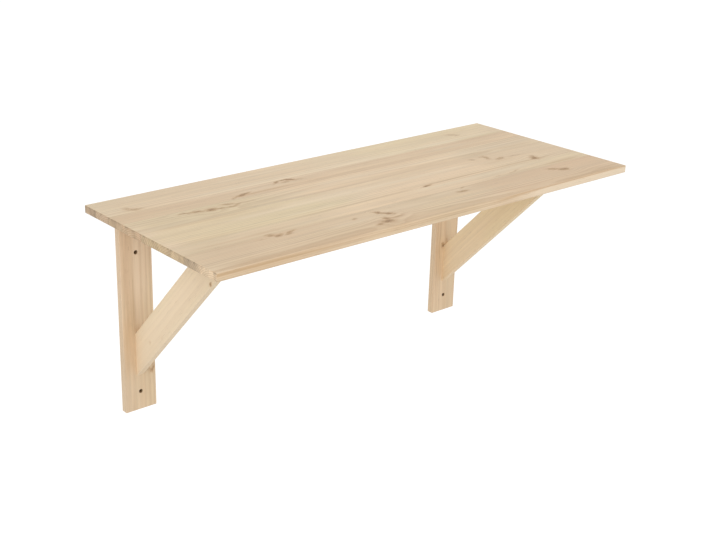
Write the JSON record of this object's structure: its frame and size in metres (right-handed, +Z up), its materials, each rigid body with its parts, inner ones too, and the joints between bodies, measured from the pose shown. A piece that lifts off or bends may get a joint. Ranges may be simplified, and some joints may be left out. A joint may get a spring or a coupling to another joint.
{
  "type": "wall-mounted table",
  "caption": "Fixed wall table: a rectangular edge-glued pine top on wall uprights with mitred diagonal braces.",
  "frame": {"origin": "on the wall plane, at the centre of the four wall-screw holes", "axes": "+X along the top from left to right as seen from the front, +Y into the wall, +Z up; the front edge is at -Y"},
  "size_m": [1.2, 0.5, 0.518],
  "materials": {
    "left_upright": "untreated planed pine",
    "right_upright": "untreated planed pine",
    "left_brace": "untreated planed pine",
    "right_brace": "untreated planed pine",
    "top_stave_1": "untreated planed pine",
    "top_stave_2": "untreated planed pine",
    "top_stave_3": "untreated planed pine",
    "top_stave_4": "untreated planed pine",
    "top_stave_5": "untreated planed pine",
    "top_stave_6": "untreated planed pine",
    "dowel_wood": "plain beech",
    "zinc_screw": "zinc plated"
  },
  "bodies": {
    "root": {"left_upright": "left_upright", "right_upright": "right_upright", "left_brace": "left_brace", "right_brace": "right_brace", "top_stave_1": "top_stave_1", "top_stave_2": "top_stave_2", "top_stave_3": "top_stave_3", "top_stave_4": "top_stave_4", "top_stave_5": "top_stave_5", "top_stave_6": "top_stave_6", "left_upright_dowels": "dowel_wood", "right_upright_dowels": "dowel_wood", "left_brace_dowel": "dowel_wood", "right_brace_dowel": "dowel_wood", "left_brace_screws": "zinc_screw", "right_brace_screws": "zinc_screw"}
  },
  "joints": []
}
